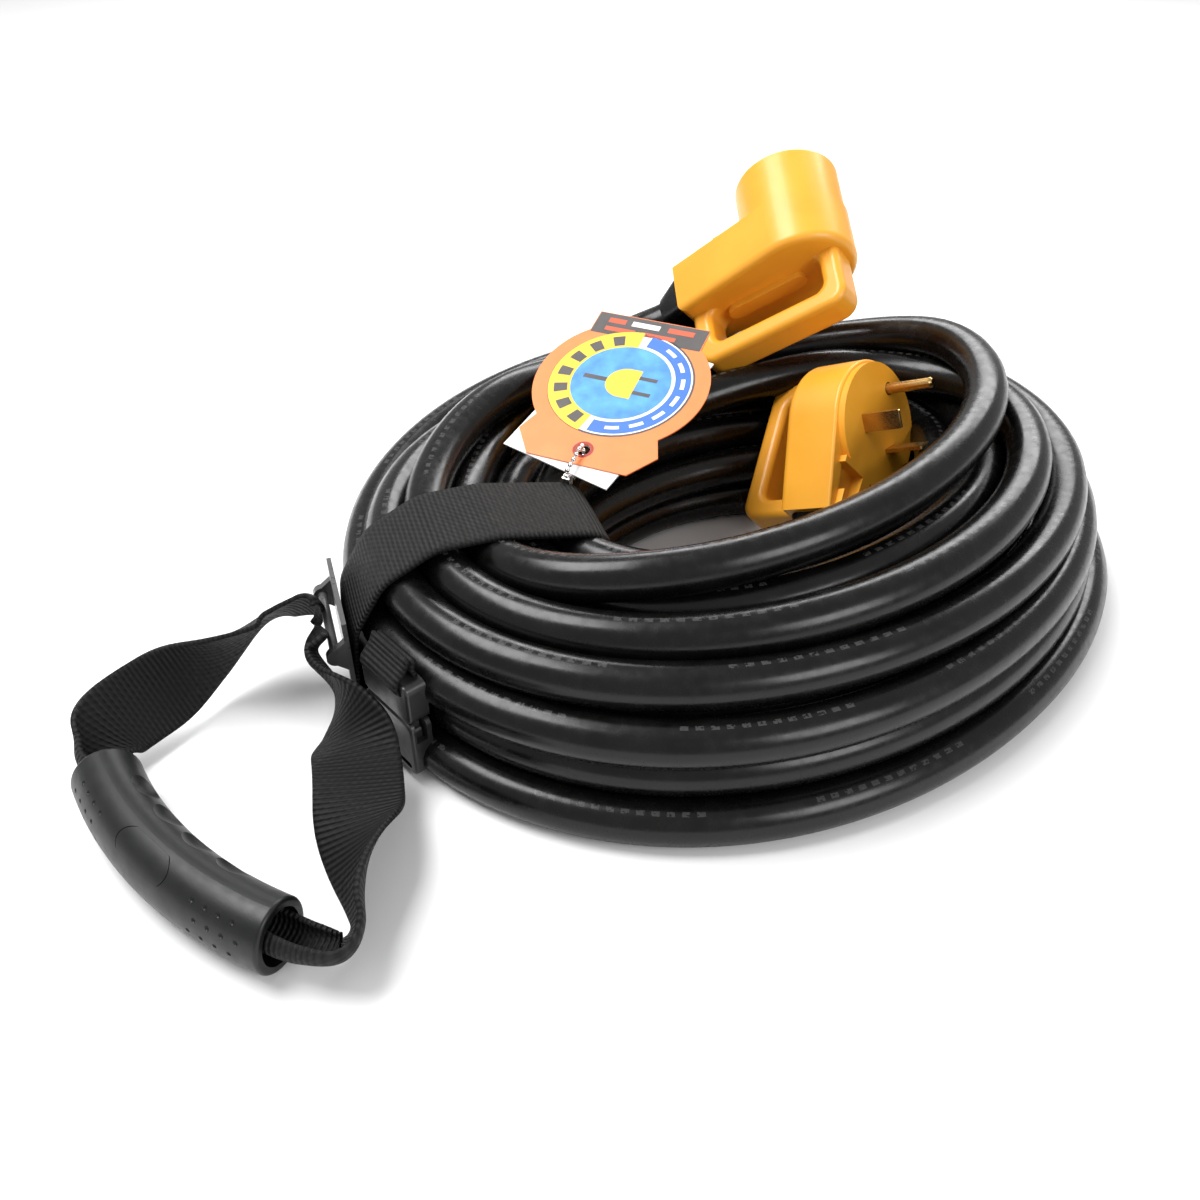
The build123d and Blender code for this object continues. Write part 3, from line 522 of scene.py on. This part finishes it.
def smooth_through(stations, per_span):
    """Points on a Catmull-Rom curve through rows of numbers."""
    s = np.array(stations, float)
    s = np.vstack([2 * s[0] - s[1], s, 2 * s[-1] - s[-2]])
    rows = []
    for k in range(1, len(s) - 2):
        a, b, c, d = s[k - 1:k + 3]
        for t in np.linspace(0, 1, per_span, endpoint=False):
            rows.append(0.5 * (2 * b + (c - a) * t + (2 * a - 5 * b + 4 * c - d) * t * t
                               + (3 * b - a - 3 * c + d) * t ** 3))
    rows.append(s[-2])
    return np.array(rows)


def ribbon(name, stations, material, body, width, thickness, per_span=14, across=18):
    """Webbing along stations of (x, y, z, roll, curl, flatten): roll 0 faces the eye's side, 90 is on edge.

    The webbing keeps its full width: curl is the angle that it is rolled through, in degrees, and
    flatten squashes the roll."""
    rows = smooth_through(stations, per_span)
    centre = rows[:, :3]
    tangent = np.gradient(centre, axis=0)
    tangent /= np.linalg.norm(tangent, axis=1)[:, None]
    vertices, uvs = [], []
    run = 0.0
    for k, (place, way) in enumerate(zip(centre, tangent)):
        if k:
            run += np.linalg.norm(centre[k] - centre[k - 1])
        roll, curl, flatten = radians(rows[k, 3]), radians(max(rows[k, 4], 4)), rows[k, 5]
        sight = unit(place - EYE)
        flat_way = unit(np.cross(way, sight))
        edge_way = unit(np.cross(flat_way, way))
        side = cos(roll) * flat_way + sin(roll) * edge_way
        up = np.cross(side, way)
        bend = width / curl
        drop = bend * (1 - cos(curl / 2)) / 2
        for j in range(across):
            t = (j / (across - 1) - 0.5) * curl
            vertices.append(place + bend * sin(t) * side + flatten * (bend * (cos(t) - 1) + drop) * up)
            uvs.append((j / (across - 1) * width, run))
    faces = grid_faces(len(centre), across)
    return mesh_piece(name, np.array(vertices), faces, material, body, uvs, thickness=thickness), run


# ---------------------------------------------------------------- the strap round the bundle
WEBBING_THICK = 1.7
STRAP_WIDE = 38.0
LOOP_WIDE = 31.0


def hull(points):
    """The convex hull of plane points, anticlockwise."""
    pts = sorted(map(tuple, points))

    def half(sequence):
        chain = []
        for p in sequence:
            while len(chain) > 1:
                (ax, ay), (bx, by) = chain[-2], chain[-1]
                if (bx - ax) * (p[1] - ay) - (by - ay) * (p[0] - ax) > 0:
                    break
                chain.pop()
            chain.append(p)
        return chain[:-1]

    return np.array(half(pts) + half(pts[::-1]))


def strap_outline():
    """The strap's middle line round the strands that it ties, as (out, up) points."""
    away = cord_line - STRAP.origin
    u, w = away @ STRAP.x, away @ STRAP_W
    tied = (np.abs(w) < STRAP_WIDE / 2 + 1) & (np.abs(u) < 60)
    reach = CORD_R + WEBBING_THICK / 2 + 0.25
    turn = np.linspace(0, ROUND, 24, endpoint=False)
    circles = [(a + reach * cos(t), max(b + reach * sin(t), WEBBING_THICK / 2))
               for a, b in zip(u[tied][::2], cord_line[tied][::2, 2]) for t in turn]
    loop = hull(circles)
    closed = np.vstack([loop, loop[:1]])
    length = np.concatenate([[0], np.cumsum(np.linalg.norm(np.diff(closed, axis=0), axis=1))])
    at = np.linspace(0, length[-1], 161)[:-1]
    even = np.stack([np.interp(at, length, closed[:, i]) for i in range(2)], 1)
    for _ in range(3):
        even = 0.5 * even + 0.25 * (np.roll(even, 1, axis=0) + np.roll(even, -1, axis=0))
    return even, length[-1]


strap_loop, strap_round = strap_outline()
columns = 13
strap_points, strap_uvs = [], []
for k, (out, up) in enumerate(strap_loop):
    for j in range(columns):
        w = (j / (columns - 1) - 0.5) * STRAP_WIDE
        # The edges turn down a little where no strand holds them up.
        tuck = 0.35 * (abs(w) / (STRAP_WIDE / 2)) ** 4
        middle = strap_loop.mean(axis=0)
        pull = unit((middle[0] - out, middle[1] - up, 0))[:2] * tuck
        strap_points.append(STRAP.origin + (out + pull[0]) * STRAP.x + w * STRAP_W
                            + np.array((0, 0, max(up + pull[1], WEBBING_THICK / 2))))
        strap_uvs.append((w, k * strap_round / len(strap_loop)))
bundle_strap = mesh_piece("webbing_strap", np.array(strap_points), grid_faces(len(strap_loop), columns, closed=True),
                          webbing, "cord", strap_uvs, thickness=WEBBING_THICK)
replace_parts(bundle_strap, "bundle_strap")

# ---------------------------------------------------------------- carry loop
BAR_OUT, BAR_HIGH = 52.0, 36.0


def by_bar(out, along, high):
    """A point by the slide's bar."""
    return tuple(STRAP.origin + out * STRAP.x + along * STRAP_W + np.array((0, 0, high)))


def on_grip(degrees, past=0.0, lift=0.0):
    """A point of the grip's own curve, or straight on past its end."""
    a = radians(degrees)
    end = 1 if degrees > 0 else -1
    x = GRIP_RADIUS * cos(a) - past * sin(abs(a))
    y = GRIP_RADIUS * sin(a) + end * past * cos(a)
    return tuple(GRIP.at(x, y, lift))


loop_stations = [
    (*by_bar(54.5, 5, 38), 80, 150, 0.5),
    (*by_bar(58, 9, 40), 75, 120, 0.4),
    (*by_bar(68, 12, 37), 80, 90, 0.35),
    (-154, -54, 33, 88, 60, 0.5),
    (-172, -65, 24, 55, 30, 0.4),
    (-188, -78, 19, 12, 15, 0.5),
    (-201, -92, 16, 0, 60, 0.6),
    (*on_grip(-21.5, 2), 20, 190, 0.75),
    (*on_grip(-17.6), 40, 235, 0.85),
    (*on_grip(-9), 60, 250, 0.9),
    (*on_grip(0), 60, 250, 0.9),
    (*on_grip(9), 60, 250, 0.9),
    (*on_grip(16.5), 50, 250, 0.85),
    (*on_grip(20.5), 60, 230, 0.7),
    (-101, -187.5, 14, 75, 190, 0.5),
    (-97, -180, 15, 86, 130, 0.4),
    (-98, -169, 17, 84, 80, 0.4),
    (-101, -151, 18, 50, 40, 0.4),
    (-104, -130, 19, 4, 15, 0.3),
    (-108, -112, 20, 2, 15, 0.4),
    (-113, -97, 24, 50, 50, 0.4),
    (-119, -85, 29, 86, 90, 0.4),
    (*by_bar(60, -15, 36), 88, 120, 0.4),
    (*by_bar(54.5, -11, 42), 80, 120, 0.4),
]
carry_loop, loop_length = ribbon("carry_loop_webbing", loop_stations, webbing, "carry_loop",
                                 LOOP_WIDE, WEBBING_THICK)
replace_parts(carry_loop, "carry_webbing")

# ---------------------------------------------------------------- tag art: plain shapes, printed on the card
TAG_THICK = 0.6
INK_THICK = 0.05


def printed(name, outline, material, level=0):
    """A flat printed shape on the tag's front, from its closed outline."""
    low = TAG_THICK + 0.01 + level * INK_THICK
    count = len(outline)
    vertices = [TAG.at(x, y, z) for z in (low, low + INK_THICK) for x, y in outline]
    faces = [tuple(range(count - 1, -1, -1)), tuple(range(count, 2 * count))]
    for a in range(count):
        b = (a + 1) % count
        faces.append((a, b, b + count, a + count))
    return mesh_piece(name, np.array(vertices), faces, material, "tag", smooth=False)


def arc(radius, start, end, centre=(0.0, 40.0), steps=48):
    angles = np.radians(np.linspace(start, end, steps))
    return [(centre[0] + radius * cos(a), centre[1] + radius * sin(a)) for a in angles]


def band(inner, outer, start, end):
    return arc(outer, start, end) + arc(inner, end, start)


printed("tag_header_band", [(-25.6, 66.5), (25.6, 66.5), (25.6, 79.6), (-25.6, 79.6)], ink_dark)
for number, (left, right, low, high) in enumerate(((-20, -6, 69, 71.5), (-3, 13, 69, 71.5), (-20, -12, 74, 77),
                                                   (-9, 4, 74, 77), (8, 20, 74, 77))):
    printed(f"tag_header_bar_{number + 1}", [(left, low), (right, low), (right, high), (left, high)],
            ink_red if number != 3 else white_card, 1)
printed("tag_badge_rim", arc(31.5, 0, 352.5), ink_dark)
printed("tag_badge_ring", arc(30.6, 0, 352.5), white_card, 1)
printed("tag_badge_blue", band(23.2, 29.8, -96, 84), ink_blue, 2)
printed("tag_badge_yellow", band(20.0, 31.2, 92, 258), ink_yellow, 2)
printed("tag_badge_sky", arc(21.6, 0, 352.5), ink_sky, 3)
for number in range(7):
    middle = 108 + number * 22
    printed(f"tag_badge_mark_{number + 1}", band(22.8, 28.6, middle, middle + 11), ink_dark, 3)
    middle = -82 + number * 22
    printed(f"tag_badge_dash_{number + 1}", band(25.6, 27.4, middle, middle + 13), white_card, 3)
# A plain plug symbol: a rounded body with two prongs and a short tail.
printed("tag_symbol_body", arc(8.5, 90, 270, (2.0, 40.0), 20) + [(7, 31.5), (7, 48.5)], ink_yellow, 4)
printed("tag_symbol_prong_1", [(7, 43.4), (15, 43.4), (15, 45.4), (7, 45.4)], ink_dark, 4)
printed("tag_symbol_prong_2", [(7, 34.6), (15, 34.6), (15, 36.6), (7, 36.6)], ink_dark, 4)
printed("tag_symbol_tail", [(-17, 38.8), (-6.4, 38.8), (-6.4, 41.2), (-17, 41.2)], ink_dark, 4)
printed("tag_eyelet", arc(4.4, 0, 360, (0, 0)) + arc(3.05, 360, 0, (0, 0)), eyelet_red)


# ---------------------------------------------------------------- ball chain
def chain_piece(name, path, ball_r, material):
    """Balls on a fine wire along a path, as one mesh."""
    path = np.array(path, float)
    length = np.concatenate([[0], np.cumsum(np.linalg.norm(np.diff(path, axis=0), axis=1))])
    count = int(length[-1] // (2.5 * ball_r))
    at = np.linspace(0, length[-1], count + 1)
    places = np.stack([np.interp(at, length, path[:, i]) for i in range(3)], 1)
    builder = bmesh.new()
    for place in places:
        ball = bmesh.ops.create_uvsphere(builder, u_segments=12, v_segments=8, radius=ball_r / 1000)
        bmesh.ops.translate(builder, verts=ball["verts"], vec=Vector(metres(place)))
    for a, b in zip(places, places[1:]):
        way = Vector(b - a)
        turn = way.to_track_quat("Z", "Y").to_matrix().to_4x4()
        turn.translation = Vector(metres((a + b) / 2))
        bmesh.ops.create_cone(builder, segments=8, radius1=0.3 * ball_r / 1000, radius2=0.3 * ball_r / 1000,
                              depth=way.length / 1000, matrix=turn)
    mesh = bpy.data.meshes.new(name)
    builder.to_mesh(mesh)
    builder.free()
    mesh.materials.append(material)
    for polygon in mesh.polygons:
        polygon.use_smooth = True
    piece = bpy.data.objects.new(name, mesh)
    bpy.context.scene.collection.objects.link(piece)
    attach(piece, "tag")
    return piece


CHAIN_CORNERS = [(-16, 1.7), (-16, 2.6), (-14.6, 3.6), (-8, 3.6), (-1.8, 3.6), (-0.1, 2.6), (0, 0),
                 (-0.1, -2.6), (-1.8, -3.6), (-8, -3.6), (-14.6, -3.6), (-16, -2.6), (-16, -1.7)]
chain_path = [TAG.at(0, y, z) for y, z in smooth_through(CHAIN_CORNERS, 8)]
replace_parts(chain_piece("ball_chain_balls", chain_path, 1.1, chain_metal), "ball_chain")

# ---------------------------------------------------------------- webbing in the buckle
BUCKLE_TAPE = 22.0


def tape(name, path, body, thickness=1.5):
    """Narrow webbing across the buckle, along (up, out) points of its frame."""
    rows = smooth_through(path, 8)
    run = np.concatenate([[0], np.cumsum(np.linalg.norm(np.diff(rows, axis=0), axis=1))])
    vertices, uvs = [], []
    for (up, out), along in zip(rows, run):
        for j in range(9):
            x = (j / 8 - 0.5) * BUCKLE_TAPE
            vertices.append(BUCKLE.at(x, up, out))
            uvs.append((x, along))
    piece = mesh_piece(name, np.array(vertices), grid_faces(len(rows), 9), webbing, body, uvs,
                       thickness=thickness)
    return piece, run[-1]


insert_tape, insert_run = tape("buckle_tab_webbing", [(50, 1.2), (46, 2.2), (42.5, 1.4), (39.4, 3.6), (38.6, 6.0),
                                                      (39.6, 9.4), (43, 9.2), (47, 5.6), (51, 3.4)], "buckle_tongue")
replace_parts(insert_tape, "buckle_insert_tab")

# ---------------------------------------------------------------- floor and lights
floor_mesh = bpy.data.meshes.new("floor")
FLOOR_HALF = 4.0
floor_mesh.from_pydata([(-FLOOR_HALF, -FLOOR_HALF, 0), (FLOOR_HALF, -FLOOR_HALF, 0),
                        (FLOOR_HALF, FLOOR_HALF, 0), (-FLOOR_HALF, FLOOR_HALF, 0)], [], [(0, 1, 2, 3)])
floor = bpy.data.objects.new("floor", floor_mesh)
bpy.context.scene.collection.objects.link(floor)
floor_material, floor_shader = new_material("floor")
floor_shader.inputs["Base Color"].default_value = (0.86, 0.86, 0.86, 1)
floor_shader.inputs["Roughness"].default_value = 0.9
floor_mesh.materials.append(floor_material)

world = bpy.data.worlds.new("world")
world.use_nodes = True
world.node_tree.nodes["Background"].inputs["Color"].default_value = (1, 1, 1, 1)
world.node_tree.nodes["Background"].inputs["Strength"].default_value = 0.55
bpy.context.scene.world = world
bpy.context.scene.view_settings.view_transform = "Standard"


def area_light(name, place, aim, size, power):
    light = bpy.data.lights.new(name, "AREA")
    light.shape = "RECTANGLE"
    light.size, light.size_y = size
    light.energy = power
    lamp = bpy.data.objects.new(name, light)
    lamp.location = place
    lamp.rotation_euler = (Vector(aim) - Vector(place)).to_track_quat("-Z", "Y").to_euler()
    bpy.context.scene.collection.objects.link(lamp)


area_light("key", (-0.6, 0.1, 1.2), (0, 0, 0.05), (0.9, 0.6), 22)
area_light("back", (0.4, 1.2, 0.9), (0, 0, 0.05), (1.4, 0.35), 15)
area_light("fill", (0.9, -0.9, 0.8), (0, 0, 0.05), (0.6, 0.6), 9)
